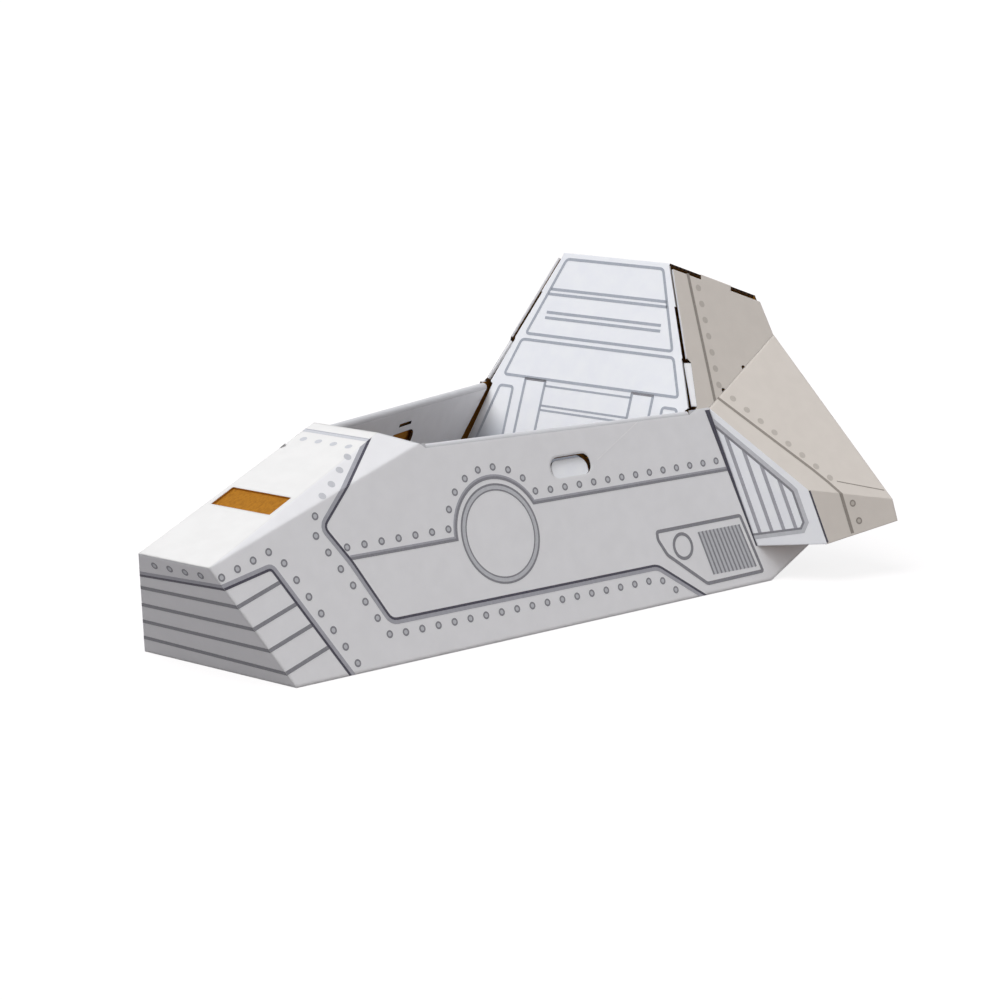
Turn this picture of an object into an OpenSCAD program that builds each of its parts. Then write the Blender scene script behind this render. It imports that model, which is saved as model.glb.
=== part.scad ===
// Ride-in cardboard spaceship: a folded hull, a folded backrest tower and two tabbed wing pods.
// Millimetres, nose toward -Y, child's left hand toward +X, +Z up, standing on z = 0.

/* [Board] */
// Thickness of the corrugated board
board_t = 4; // [3:0.5:6]
// Gap left where one sheet seats against another
seat_gap = 0.3; // [0.2:0.1:0.6]

/* [Hull] */
// Length of the bottom edge, nose to rear foot
base_len = 1000; // [800:10:1200]
// Width across the bottom at the nose
nose_w = 310; // [260:5:360]
// Width across the bottom at the rear foot
rear_w = 690; // [600:5:780]
// Inward lean of the hull walls from upright, in degrees
hull_lean = 20; // [14:0.5:24]
// Height of the nose edge
nose_h = 183; // [150:1:210]
// Reach of the nose edge ahead of the bottom edge
nose_reach = 92; // [60:1:120]
// Distance of the hood's rear edge behind the bottom front edge
hood_rear_y = 289; // [260:1:310]
// Height of the hood's rear edge
hood_rear_z = 325; // [315:1:340]
// Width of the hood's rear edge
hood_rear_w = 130; // [110:1:140]

/* [Cockpit] */
// Front end of the wall's top edge behind the bottom front edge
wall_front_y = 338; // [325:1:360]
// Height of the wall's top edge at its front end
wall_front_z = 306; // [300:1:312]
// Rear end of the wall's top edge behind the bottom front edge
wall_rear_y = 930; // [900:1:950]
// Height of the wall's top edge at its rear end
wall_rear_z = 292; // [280:1:300]
// Radius of the rolled hem along the wall's top edge
hem_r = 8; // [7:0.5:10]
// Depth of the inner flap below the wall's top edge
flap_depth = 150; // [120:5:180]
// Distance of the hem from the front end of the wall's top edge
hem_front_margin = 10; // [8:1:16]
// Distance of the hem from the rear end of the wall's top edge
hem_rear_margin = 16; // [10:1:22]

/* [Hood slot] */
// Distance of the slot's ends from the hood's two long folds
slot_margin = 9; // [6:1:16]
// Length of the slot along the hood
slot_l = 51; // [40:1:60]
// Distance of the slot's lower edge from the nose edge, along the hood
slot_from_nose = 151; // [140:1:165]
// Overlap of the lining flap past the slot's long edges
slot_lap = 12; // [8:1:16]

/* [Hand holes] */
// Length of a hand hole
hand_l = 86; // [76:1:96]
// Height of a hand hole
hand_h = 34; // [28:1:38]
// Centre of a hand hole behind the bottom front edge
hand_y = 626; // [600:1:650]
// Height of a hand hole's centre
hand_z = 237; // [228:1:242]
// Width of the cut round the pushed-in flap of a hand hole
hand_cut = 4; // [3:0.5:5]
// Angle that the flap of a hand hole is pushed in, in degrees
hand_push = 10; // [6:1:12]
// Length of the short slit above the hole in the inner flap
slit_l = 42; // [34:1:50]
// Height of that slit
slit_h = 6; // [4:0.5:8]
// Height of that slit above the hole's centre
slit_up = 32; // [28:1:34]

/* [Tower] */
// Inward lean of the tower's sides from upright, in degrees
tower_lean = 28; // [24:0.5:31]
// Distance of the tower's front top edge behind the bottom front edge
tower_front_y = 1011; // [990:1:1030]
// Height of the tower's front top edge
tower_h = 523; // [490:1:550]
// Distance of the upright rear behind the bottom front edge
rear_y = 1182; // [1150:1:1210]
// Height of the roof's rear edge
roof_rear_z = 456; // [430:1:480]
// Height of the hull's lower rear corner
rear_corner_z = 71; // [50:1:100]
// Depth of the two notches in each side's sloping top edge
roof_notch_d = 10; // [8:1:14]
// Distance of the tab between the notches from the tower's front
roof_tab_start = 65; // [55:1:75]
// Length of that tab
roof_tab_l = 68; // [55:1:80]

/* [Backrest] */
// Gap between the backrest and the sides inside the cockpit
low_gap = 16; // [12:1:20]
// Gap between the backrest and the sides in the open notches
notch_gap = 5; // [3:1:8]
// Gap between the backrest and the sides at the top
top_gap = 2.5; // [1:0.5:4]
// Height of the lower end of the side's folded tab above the wall's top edge
tab_low_up = 4; // [3:1:8]
// Height of the upper end of the side's folded tab above the wall's top edge
tab_high_up = 72; // [62:1:74]
// Height of an open notch's lower end above the wall's top edge
notch_low_up = 80; // [79:1:88]
// Height of an open notch's upper end above the wall's top edge
notch_high_up = 161; // [150:1:172]
// Distance of the tab's fold behind the side's front edge, lower end
tab_low_back = 6; // [4:1:8]
// Distance of the tab's fold behind the side's front edge, upper end
tab_high_back = 8; // [6:1:12]
// Reach of the folded tab across the backrest, upper end
tab_reach = 9; // [7:1:14]

/* [Wing pods] */
// Front upper corner of a pod behind the bottom front edge
pod_front_y = 962; // [950:1:980]
// Front lower corner of a pod behind the bottom front edge
pod_foot_y = 988; // [975:1:1000]
// Height of a pod's front lower corner
pod_foot_z = 59; // [45:1:75]
// Height of a pod's rear upper corner
pod_rear_z = 392; // [370:1:410]
// Distance of a pod's knee from the hull wall
pod_reach = 94; // [70:1:115]
// Distance of a pod's knee behind the bottom front edge
pod_knee_y = 1037; // [1020:1:1055]
// Height of a pod's knee
pod_knee_z = 158; // [140:1:175]
// Height of the outer face at its front, as a share of the front face's inner edge
pod_lip = 0.39; // [0.3:0.01:0.5]
// Length of the rear edge of a pod's top, as a share of its front edge
pod_spread = 1.56; // [1.4:0.01:1.7]
// Height of the outer face at its rear, as a share of its front
pod_taper = 0.41; // [0.3:0.01:0.6]
// Length of the tongue that holds a pod in its slot
tongue_l = 60; // [50:1:70]
// Reach of the tongue inside the tower
tongue_reach = 24; // [16:1:32]
// Distance of the slot from a pod's front upper corner
tongue_start = 55; // [45:1:65]
// Length of the slot
tongue_slot_l = 74; // [72:1:84]
// Diameter of the round ends of the slot
slot_end_d = 8; // [7:0.5:9]
// Depth of the tongue below the upper edge of a pod
tongue_drop = 5; // [4:0.5:6]

/* [Hidden] */
$fn = 48;
// Extra length below the floor and past the sheets, trimmed off by the outlines
bleed = 12;
// Reach of the trimming blocks
far = 2000;
// Overlap of neighbouring panels at a fold
lap = 1;
// Step back of a panel's edge under its neighbour at a fold
tuck = 0.5;
// Extra thickness that is trimmed back to the outer faces
skin = 0.1;
// Step of a folded-in flap below the face it is cut from
sink = 0.5;
// Corner radius of a hand hole as a share of its height
hand_round = 0.45;
flare = (rear_w - nose_w) / 2 / base_len;
hull_tan = tan(hull_lean);
tower_tan = tan(tower_lean);
// The hull walls and the tower's sides meet in a fold level with the wall's rear end
fold_z = wall_rear_z;
tab_low_z = fold_z + tab_low_up;
tab_high_z = fold_z + tab_high_up;
notch_low_z = fold_z + notch_low_up;
notch_high_z = fold_z + notch_high_up;
mid_y = (rear_y - nose_reach) / 2;
// Level thickness of a leaning side
hull_level_t = board_t * sqrt(1 + flare * flare + hull_tan * hull_tan);
tower_level_t = board_t * sqrt(1 + flare * flare + tower_tan * tower_tan);
back_slope = (tower_front_y - wall_rear_y) / (tower_h - wall_rear_z);
hood_slope = (hood_rear_z - nose_h) / (hood_rear_y + nose_reach);

function unit(a) = a / norm(a);
function flip(p) = [-p.x, p.y, p.z];
// Outer faces of the hull wall and the tower side, at a distance y from the nose and a height z
function hull_x(y, z) = nose_w / 2 + flare * y - hull_tan * z;
function tower_x(y, z) = hull_x(y, fold_z) - tower_tan * (z - fold_z);
function hull_pt(y, z) = [hull_x(y, z), y, z];
function tower_pt(y, z) = [tower_x(y, z), y, z];
// Front face of the backrest
function back_y(z) = wall_rear_y + back_slope * (z - wall_rear_z);

along = unit([flare, 1, 0]);
hull_out = unit([1, -flare, hull_tan]);
tower_out = unit([1, -flare, tower_tan]);
hull_up = cross(hull_out, along);
tower_up = cross(tower_out, along);
hull_origin = hull_pt(0, 0);
tower_origin = hull_pt(0, fold_z);
function hull_uv(y, z) = let (d = hull_pt(y, z) - hull_origin) [d * along, d * hull_up];
function tower_uv(y, z) = let (d = tower_pt(y, z) - tower_origin) [d * along, d * tower_up];

// Line of a flat outline's side from a to b, moved out by d
function side_line(a, b, d) = let (e = unit(b - a)) [e.y, -e.x, e.y * a.x - e.x * a.y + d];
function crossing(l, m) = let (area = l.x * m.y - l.y * m.x) [
    (l.z * m.y - l.y * m.z) / area,
    (l.x * m.z - l.z * m.x) / area
];
// Anticlockwise outline whose sides are moved out, each by its own amount
function grown(outline, by) = let (n = len(outline)) [
    for (i = [0:n - 1]) let (before = (i + n - 1) % n, after = (i + 1) % n) crossing(
        side_line(outline[before], outline[i], by[before]),
        side_line(outline[i], outline[after], by[i])
    )
];

// Places children drawn on a flat face: X along, Y up the face, Z out of it
module face_frame(origin, x_dir, out) {
    y_dir = cross(out, x_dir);
    multmatrix([
        [x_dir.x, y_dir.x, out.x, origin.x],
        [x_dir.y, y_dir.y, out.y, origin.y],
        [x_dir.z, y_dir.z, out.z, origin.z],
        [0, 0, 0, 1]
    ])
        children();
}

// Everything behind the face that the children's frame lies on
module behind(gap = 0) {
    translate([-far, -far, gap - far])
        cube([2 * far, 2 * far, far]);
}

// Direction out of a face with corners anticlockwise from outside
function face_out(corners) = unit(cross(corners[1] - corners[0], corners[2] - corners[0]));
function face_x(corners) = unit(corners[1] - corners[0]);

module behind_face(corners) {
    face_frame(corners[0], face_x(corners), face_out(corners))
        behind();
}

// A flat panel of board from the corners of its outer face, with sides moved out for laps
module panel(corners, by = [for (i = [1:99]) 0]) {
    x_dir = face_x(corners);
    out = face_out(corners);
    y_dir = cross(out, x_dir);
    outline = [for (p = corners) [(p - corners[0]) * x_dir, (p - corners[0]) * y_dir]];
    face_frame(corners[0], x_dir, out)
        translate([0, 0, -board_t])
            linear_extrude(board_t + skin)
                polygon(max(by) > 0 ? grown(outline, by) : outline);
}

// A symmetrical panel from the corners of its right-hand edge, drawn out at both ends
module mirrored_panel(edge, before = 0, after = 0) {
    last = len(edge) - 1;
    first_pt = edge[0] + before * unit(edge[0] - edge[1]);
    last_pt = edge[last] + after * unit(edge[last] - edge[last - 1]);
    right = [for (i = [0:last]) i == 0 ? first_pt : i == last ? last_pt : edge[i]];
    panel(concat([flip(first_pt)], right, [for (i = [last:-1:1]) flip(right[i])]));
}

// Trims sheets to a side view given as [y, z] corners
module side_view(corners) {
    translate([-far / 2, 0, 0])
        rotate([90, 0, 90])
            linear_extrude(far)
                polygon(corners);
}

module both_sides() {
    children();
    mirror([1, 0, 0])
        children();
}

module on_hull() {
    face_frame(hull_origin, along, hull_out)
        children();
}

module on_tower() {
    face_frame(tower_origin, along, tower_out)
        children();
}

module on_hood() {
    face_frame([0, -nose_reach, nose_h], [1, 0, 0], unit([0, -hood_slope, 1]))
        children();
}

// Top edge of the wall: distance s from its front end, depth d below it
rim_start = hull_uv(wall_front_y, wall_front_z);
rim_end = hull_uv(wall_rear_y, wall_rear_z);
rim_len = norm(rim_end - rim_start);
rim_dir = (rim_end - rim_start) / rim_len;
rim_up = [-rim_dir.y, rim_dir.x];
function rim_pt(s, d) = rim_start + s * rim_dir - d * rim_up;
hem_end = rim_len - hem_rear_margin;

nose_top = hull_pt(-nose_reach, nose_h);
hood_rear = [hood_rear_w / 2, hood_rear_y, hood_rear_z];
rim_corner = hull_pt(wall_front_y, wall_front_z);
hood_l = norm([hood_rear_y + nose_reach, hood_rear_z - nose_h]);
// Half width of the hood at a distance s from the nose edge
function hood_half_w(s) = nose_top.x + (hood_rear.x - nose_top.x) * s / hood_l;
slot_w = 2 * (min(hood_half_w(slot_from_nose), hood_half_w(slot_from_nose + slot_l)) - slot_margin);
foot_step = (rear_y - base_len) / rear_corner_z;
hand_at = hull_uv(hand_y, hand_z);

// Outline of a hand hole, its lower edge on the X axis
module hand_outline(l, h) {
    corner_r = h * hand_round;
    translate([-l / 2, corner_r])
        square([l, h - 2 * corner_r]);
    translate([-l / 2 + corner_r, 0])
        square([l - 2 * corner_r, h]);
    for (x = [-l / 2 + corner_r, l / 2 - corner_r], y = [corner_r, h - corner_r])
        translate([x, y])
            circle(corner_r);
}

// Flat hull wall below the fold line, its folded edges under the panels next to it
module hull_wall() {
    nose_uv = hull_uv(-nose_reach, nose_h);
    bevel_dir = unit(rim_start - nose_uv);
    under_bevel = tuck * [bevel_dir.y, -bevel_dir.x];
    on_hull()
        difference() {
            translate([0, 0, -board_t])
                linear_extrude(board_t + skin)
                    polygon([
                        hull_uv(bleed * nose_reach / nose_h, -bleed) - [lap, 0],
                        hull_uv(base_len - bleed * foot_step, -bleed),
                        hull_uv(rear_y + bleed, rear_corner_z + bleed / foot_step),
                        hull_uv(rear_y + bleed, fold_z) - [0, tuck],
                        rim_end - [0, tuck],
                        rim_pt(hem_end, tuck),
                        rim_pt(hem_end, hem_r),
                        rim_pt(hem_front_margin, hem_r),
                        rim_pt(hem_front_margin, 0),
                        rim_start + under_bevel,
                        nose_uv + under_bevel - [lap, 0]
                    ]);
            translate([hand_at.x, hand_at.y - hand_h / 2, -2 * board_t])
                linear_extrude(3 * board_t)
                    hand_outline(hand_l, hand_h);
        }
}

// Flap of a hand hole, hinged at its lower edge and pushed in
module hand_flap() {
    on_hull()
        translate([hand_at.x, hand_at.y - hand_h / 2 - board_t, -sink])
            rotate([-hand_push, 0, 0])
                translate([0, 0, -board_t])
                    linear_extrude(board_t)
                        hand_outline(hand_l - 2 * hand_cut, hand_h + board_t - hand_cut);
}

// Rolled hem and the inner flap that hangs from it
module wall_hem() {
    hem_angle = atan2(rim_dir.y, rim_dir.x);
    flap_rear = hem_end - flap_depth * back_slope;
    roll_r = hem_r - sink;
    on_hull() {
        translate([rim_start.x, rim_start.y, 0])
            rotate([0, 0, hem_angle])
                translate([hem_front_margin - lap, 0, 0])
                    rotate([90, 0, 90])
                        linear_extrude(hem_end - hem_front_margin + 2 * lap)
                            translate([-hem_r, -hem_r])
                                difference() {
                                    circle(roll_r);
                                    circle(roll_r - board_t);
                                    translate([-2 * hem_r - lap, -2 * hem_r])
                                        square([2 * hem_r, 4 * hem_r]);
                                }
        translate([0, 0, -2 * hem_r])
            difference() {
                linear_extrude(board_t)
                    polygon([
                        rim_pt(hem_front_margin, hem_r),
                        rim_pt(hem_front_margin, flap_depth),
                        rim_pt(flap_rear, flap_depth),
                        rim_pt(hem_end, hem_r)
                    ]);
                translate([hand_at.x, hand_at.y - hand_h / 2, -board_t])
                    linear_extrude(3 * board_t)
                        hand_outline(hand_l, hand_h);
                translate([hand_at.x - slit_l / 2, hand_at.y + slit_up - slit_h / 2, -board_t])
                    cube([slit_l, slit_h, 3 * board_t]);
            }
    }
}

// Sloping top edge of a tower side: distance s from the front, depth d below it
top_start = tower_uv(tower_front_y, tower_h);
top_end = tower_uv(rear_y, roof_rear_z);
top_len = norm(top_end - top_start);
top_dir = (top_end - top_start) / top_len;
top_up = [-top_dir.y, top_dir.x];
function top_pt(s, d) = top_start + s * top_dir - d * top_up;
// Point of the side's front edge that lies a depth d below the sloping top edge
front_down = unit(tower_uv(wall_rear_y, fold_z) - top_start);
function front_pt(d) = top_start - front_down * d / (front_down * top_up);
tab_low = tower_pt(back_y(tab_low_z) + tab_low_back, tab_low_z);
tab_high = tower_pt(back_y(tab_high_z) + tab_high_back, tab_high_z);

// Corners of a wing pod on the left side
pod_front = hull_pt(pod_front_y, fold_z);
pod_foot = hull_pt(pod_foot_y, pod_foot_z);
pod_rear = tower_pt(rear_y, pod_rear_z);
pod_knee = hull_pt(pod_knee_y, pod_knee_z) + [pod_reach, 0, 0];
pod_toe = pod_knee + pod_lip * (pod_foot - pod_front);
pod_top_step = (pod_knee.y - pod_front.y) / (pod_rear.y - pod_front.y);
pod_wing = pod_rear + pod_spread * (pod_knee - pod_front - pod_top_step * (pod_rear - pod_front));
pod_end_step = (pod_toe.y - pod_knee.y) / (pod_wing.y - pod_knee.y);
pod_tail = pod_wing + pod_taper * (pod_toe - pod_knee - pod_end_step * (pod_wing - pod_knee));

// Placed along the upper edge of a pod, where its tongue goes through the tower side
pod_line_start = tower_uv(pod_front.y, pod_front.z);
pod_line = tower_uv(pod_rear.y, pod_rear.z) - pod_line_start;
module along_pod_edge() {
    on_tower()
        translate([pod_line_start.x, pod_line_start.y, 0])
            rotate([0, 0, atan2(pod_line.y, pod_line.x)])
                translate([tongue_start, 0, 0])
                    children();
}

module pod_slot() {
    slot_low = -tongue_drop - board_t - seat_gap;
    along_pod_edge()
        translate([0, 0, -2 * board_t])
            linear_extrude(3 * board_t) {
                translate([0, slot_low])
                    square([tongue_slot_l, board_t + 2 * seat_gap]);
                for (x = [0, tongue_slot_l]) {
                    translate([x, 0])
                        circle(d = slot_end_d);
                    translate([x - slot_end_d / 2, slot_low])
                        square([slot_end_d, -slot_low]);
                }
            }
}

// Flat tower side above the fold line
module tower_side() {
    difference() {
        on_tower()
            translate([0, 0, -board_t])
                linear_extrude(board_t)
                    polygon([
                        tower_uv(wall_rear_y, fold_z) - [0, lap],
                        tower_uv(rear_y + bleed, fold_z) - [0, lap],
                        top_pt(top_len + bleed, roof_notch_d),
                        top_pt(roof_tab_start + roof_tab_l, roof_notch_d),
                        top_pt(roof_tab_start + roof_tab_l, 0),
                        top_pt(roof_tab_start, 0),
                        top_pt(roof_tab_start, roof_notch_d),
                        front_pt(roof_notch_d),
                        tower_uv(back_y(notch_low_z), notch_low_z),
                        tower_uv(tab_high.y, tab_high.z),
                        tower_uv(tab_low.y, tab_low.z)
                    ]);
        pod_slot();
    }
}

// Lining flap behind the hood's slot, its bare side outward
module slot_liner() {
    liner_w = slot_w + slot_margin;
    on_hood()
        translate([-liner_w / 2, slot_from_nose - slot_lap, sink - 2 * board_t])
            cube([liner_w, slot_l + 2 * slot_lap, board_t]);
}

// Tapering tab of a side, folded in to lie against the backrest
tab_step = [-tab_reach, back_y(tab_high_z) - tab_high.y, 0];
tab_share = tab_low_back / tab_high_back;
module side_tab() {
    translate(-sink * tower_out)
        panel(
            [tab_low, tab_high, tab_high + tab_step, tab_low + tab_share * tab_step],
            [tuck, 0, 0, 0]
        );
}

module hull() {
    color([0.93, 0.93, 0.92])
        intersection() {
            union() {
                mirrored_panel([
                    hull_pt(bleed * nose_reach / nose_h, -bleed) - [tuck, 0, 0],
                    nose_top - [tuck, 0, 0]
                ], after = lap);
                difference() {
                    mirrored_panel([nose_top - [tuck, 0, 0], hood_rear - [tuck, 0, 0]], before = lap);
                    on_hood()
                        translate([-slot_w / 2, slot_from_nose, -2 * board_t])
                            cube([slot_w, slot_l, 3 * board_t]);
                }
                slot_liner();
                both_sides() {
                    panel([nose_top, rim_corner, hood_rear], [lap, 0, lap]);
                    hull_wall();
                    hand_flap();
                    wall_hem();
                    tower_side();
                    side_tab();
                }
            }
            side_view([
                [0, 0],
                [-nose_reach, nose_h],
                [rear_y, nose_h + hood_slope * (rear_y + nose_reach)],
                [rear_y, 0]
            ]);
            on_hull()
                behind();
            mirror([1, 0, 0])
                on_hull()
                    behind();
        }
}

// Right-hand edge of the backrest, from the floor to the tower's front top edge
function back_pt(z, gap) = [
    (z > fold_z ? tower_x(back_y(z), z) - tower_level_t : hull_x(back_y(z), z) - hull_level_t) - gap,
    back_y(z),
    z
];
// Clear of the side's folded tab, whose inner edge runs from tab_low to tab_high
tab_clear = 1.6 * board_t;
function tab_edge(base, share) = [
    base.x - share * tab_reach - tab_clear,
    back_y(base.z),
    base.z
];

module canopy() {
    color([0.95, 0.95, 0.96])
        intersection() {
            union() {
                mirrored_panel([
                    back_pt(-bleed, low_gap),
                    back_pt(tab_low_z - 2 * board_t, low_gap),
                    tab_edge(tab_low - [0, 0, board_t], tab_share),
                    tab_edge(tab_high + [0, 0, board_t], 1),
                    back_pt(notch_low_z, notch_gap),
                    back_pt(notch_high_z, notch_gap),
                    back_pt(notch_high_z, top_gap),
                    back_pt(tower_h, top_gap)
                ], after = lap);
                roof();
                rear_panel();
            }
            side_view([
                [back_y(0), 0],
                [tower_front_y, tower_h],
                [rear_y, roof_rear_z],
                [rear_y, 0]
            ]);
        }
}

// Point on the roof's right-hand edge, at a distance s behind the tower's front
roof_l = norm([rear_y - tower_front_y, roof_rear_z - tower_h]);
function roof_pt(s, gap) = let (
    y = tower_front_y + (rear_y - tower_front_y) * s / roof_l,
    z = tower_h + (roof_rear_z - tower_h) * s / roof_l
) [tower_x(y, z) - gap, y, z];

module roof() {
    in = tower_level_t + seat_gap;
    mirrored_panel([roof_pt(0, in), roof_pt(roof_l, in)], before = lap, after = lap);
}

module rear_panel() {
    in = seat_gap + flare * board_t;
    function rear_pt(x, z) = [x - in, rear_y, z];
    mirrored_panel([
        rear_pt(tower_x(rear_y, roof_rear_z) - tower_level_t, roof_rear_z),
        rear_pt(tower_x(rear_y, fold_z) - tower_level_t, fold_z),
        rear_pt(hull_x(rear_y, rear_corner_z) - hull_level_t, rear_corner_z)
    ], before = lap);
}

// Everything inside the outer faces of a side, with the seating gap
module inside_of_side() {
    intersection() {
        on_hull()
            behind(seat_gap);
        on_tower()
            behind(seat_gap);
    }
}

pod_front_face = [pod_front, pod_foot, pod_toe, pod_knee];
pod_top_face = [pod_front, pod_knee, pod_wing, pod_rear];
pod_end_face = [pod_knee, pod_toe, pod_tail, pod_wing];
module pod() {
    intersection() {
        difference() {
            union() {
                panel(pod_front_face, [bleed, 0, lap, lap]);
                panel(pod_top_face, [lap, lap, bleed, bleed]);
                panel(pod_end_face, [lap, 0, bleed, lap]);
            }
            inside_of_side();
            translate([-far / 2, rear_y, -far / 2])
                cube(far);
        }
        behind_face(pod_front_face);
        behind_face(pod_top_face);
        behind_face(pod_end_face);
    }
    along_pod_edge()
        translate([(tongue_slot_l - tongue_l) / 2, -tongue_drop - board_t, -tongue_reach])
            cube([tongue_l, board_t, tongue_reach + 4 * seat_gap]);
}

module pod_left() {
    color([0.88, 0.86, 0.83])
        pod();
}

module pod_right() {
    color([0.88, 0.86, 0.83])
        mirror([1, 0, 0])
            pod();
}

translate([0, -mid_y, 0]) {
    hull();
    canopy();
    pod_left();
    pod_right();
}
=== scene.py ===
"""Dresses a folded white cardboard ride-in spaceship over its CAD frame.

The folded sheets keep their CAD shape. This script gives each side of the board its own liner, lays
the printed line work on the outer faces and sets up the studio.
"""

import logging
import math
from dataclasses import dataclass, field, replace
from enum import Enum
from typing import Iterable, Iterator, Sequence

import bpy
from mathutils import Matrix, Vector


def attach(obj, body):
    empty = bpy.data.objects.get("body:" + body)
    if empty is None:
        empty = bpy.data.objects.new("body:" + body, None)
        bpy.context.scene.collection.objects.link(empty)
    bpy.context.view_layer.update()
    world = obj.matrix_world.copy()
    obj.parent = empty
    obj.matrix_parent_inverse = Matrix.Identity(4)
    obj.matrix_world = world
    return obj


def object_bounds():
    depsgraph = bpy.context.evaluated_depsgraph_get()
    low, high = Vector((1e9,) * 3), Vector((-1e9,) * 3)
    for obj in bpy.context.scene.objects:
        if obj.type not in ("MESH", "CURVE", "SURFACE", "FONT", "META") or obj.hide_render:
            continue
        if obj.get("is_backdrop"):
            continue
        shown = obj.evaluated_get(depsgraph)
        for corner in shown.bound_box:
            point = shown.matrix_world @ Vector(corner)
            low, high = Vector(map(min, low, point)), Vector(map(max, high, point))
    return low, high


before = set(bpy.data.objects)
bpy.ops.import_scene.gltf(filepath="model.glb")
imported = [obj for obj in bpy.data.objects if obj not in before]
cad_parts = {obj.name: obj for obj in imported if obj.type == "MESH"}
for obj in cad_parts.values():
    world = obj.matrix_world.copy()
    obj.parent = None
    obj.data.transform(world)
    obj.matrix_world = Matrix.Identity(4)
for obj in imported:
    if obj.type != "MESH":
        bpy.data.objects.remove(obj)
CAD_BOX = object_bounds()

LOG = logging.getLogger("playhouse")
MM = 0.001
BODY = "root"
FLUTE_PITCH_MM = 7.6
# A band wave's own period is a twentieth of a turn.
FLUTE_SCALE = 2 * math.pi / 20 / (FLUTE_PITCH_MM * MM)
PAPER_IOR = 1.5
FILLET_STEPS = 4
FULL_TURN = 360.0

Point = tuple[float, float]
Place = tuple[float, float, float]
Path = tuple[Point, ...]
Cut = tuple[Point, Point]
Colour = tuple[float, float, float, float]
Facet = bpy.types.MeshPolygon
Material = bpy.types.Material
Tree = bpy.types.NodeTree
Socket = bpy.types.NodeSocket

WHITE_LIGHT: Colour = (1.0, 1.0, 1.0, 1.0)


class Side(Enum):
    """Side of the ship; the value is the sign of its x axis."""

    LEFT = 1
    RIGHT = -1


class Ink(Enum):
    """Print colours and the films of painted shade and highlight; the value is the material slot of
    a print.
    """

    DARK = 0
    MID = 1
    BAND = 2
    PALE = 3
    BLUE = 4
    WARM = 5
    FAINT = 6
    CREASE = 7
    SHADE_VIGNETTE = 8
    FOOT = 9


# Millimetres that each ink's film lies above the board.
LIFT = {Ink.PALE: 0.18, Ink.BAND: 0.21, Ink.BLUE: 0.24, Ink.WARM: 0.24, Ink.FAINT: 0.21,
        Ink.CREASE: 0.24, Ink.MID: 0.24, Ink.DARK: 0.27, Ink.SHADE_VIGNETTE: 0.18, Ink.FOOT: 0.18}


class Liner(Enum):
    """What shows on one face of the board; the value is the material slot of a sheet."""

    WHITE = 0
    HOOD = 1
    BRIGHT = 2
    WARM_SHADE = 3
    FLAP = 4
    ROLL = 5
    KRAFT = 6
    EDGE = 7


def linear(colour: str) -> Colour:
    """Turns an sRGB hex colour to linear light, with an alpha of one."""
    parts = [int(colour[i:i + 2], 16) / 255 for i in (1, 3, 5)]
    return (*(c / 12.92 if c <= 0.04045 else ((c + 0.055) / 1.055) ** 2.4 for c in parts), 1.0)


def add_node(
    tree: Tree,
    kind: str,
    settings: dict[str, object] | None = None,
    links: dict[str | int, Socket | None] | None = None,
) -> bpy.types.Node:
    """Adds one shader node.

    Args:
        tree: Node tree that gets the node.
        kind: Blender's name of the node type, after its ShaderNode.
        settings: Attributes or input sockets by name, with their values.
        links: Input sockets by name or number, with the output that feeds each, if any.

    Returns:
        The new node.
    """
    node = tree.nodes.new("ShaderNode" + kind)
    for name, value in (settings or {}).items():
        if name in node.inputs:
            node.inputs[name].default_value = value
        else:
            setattr(node, name, value)
    for name, output in (links or {}).items():
        if output is not None:
            tree.links.new(output, node.inputs[name])
    return node


def object_place(tree: Tree) -> Socket:
    """Adds the place on the object, in metres."""
    return add_node(tree, "TexCoord").outputs["Object"]


def add_ramp(tree: Tree, feed: Socket, stops: Point, colours: tuple[str, str]) -> Socket:
    """Adds a colour ramp with two stops.

    Args:
        tree: Node tree that gets the ramp.
        feed: Output that drives the ramp.
        stops: Places of the two stops, from 0 to 1.
        colours: Colours of the two stops.

    Returns:
        The ramp's colour output.
    """
    ramp = add_node(tree, "ValToRGB", None, {"Fac": feed})
    for stop, place, colour in zip(ramp.color_ramp.elements, stops, colours):
        stop.position = place
        stop.color = linear(colour)
    return ramp.outputs["Color"]


def add_flutes(tree: Tree, place: Socket, waver: float = 0.0, fineness: float = 1.0) -> Socket:
    """Adds waves with the pitch of the fluting, with how far and how finely they stray."""
    waves = {"Scale": FLUTE_SCALE, "bands_direction": "Y",
             "Distortion": waver, "Detail Scale": fineness}
    return add_node(tree, "TexWave", waves, {"Vector": place}).outputs["Fac"]


def mix_seen(tree: Tree, hidden: Socket, seen: Socket) -> Socket:
    """Mixes two shaders by what the camera sees, straight or in a reflection.

    Args:
        tree: Node tree that gets the nodes.
        hidden: Shader for light on its way round the studio.
        seen: Shader where the camera looks.

    Returns:
        The mixed shader's output.
    """
    path = add_node(tree, "LightPath")
    mask = path.outputs["Is Camera Ray"]
    for name in ("Is Glossy Ray", "Is Transmission Ray"):
        pair = {0: mask, 1: path.outputs[name]}
        mask = add_node(tree, "Math", {"operation": "MAXIMUM"}, pair).outputs[0]
    return add_node(tree, "MixShader", None, {0: mask, 1: hidden, 2: seen}).outputs[0]


@dataclass(frozen=True)
class Noise:
    """Cloudy noise, with the size of its clouds and the count of finer layers in them."""

    size_mm: float
    layers: float

    def add(self, tree: Tree, place: Socket) -> Socket:
        """Adds the noise at a place in metres and gives its height."""
        clouds = {"Scale": 1 / (self.size_mm * MM), "Detail": self.layers}
        return add_node(tree, "TexNoise", clouds, {"Vector": place}).outputs["Fac"]


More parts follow.
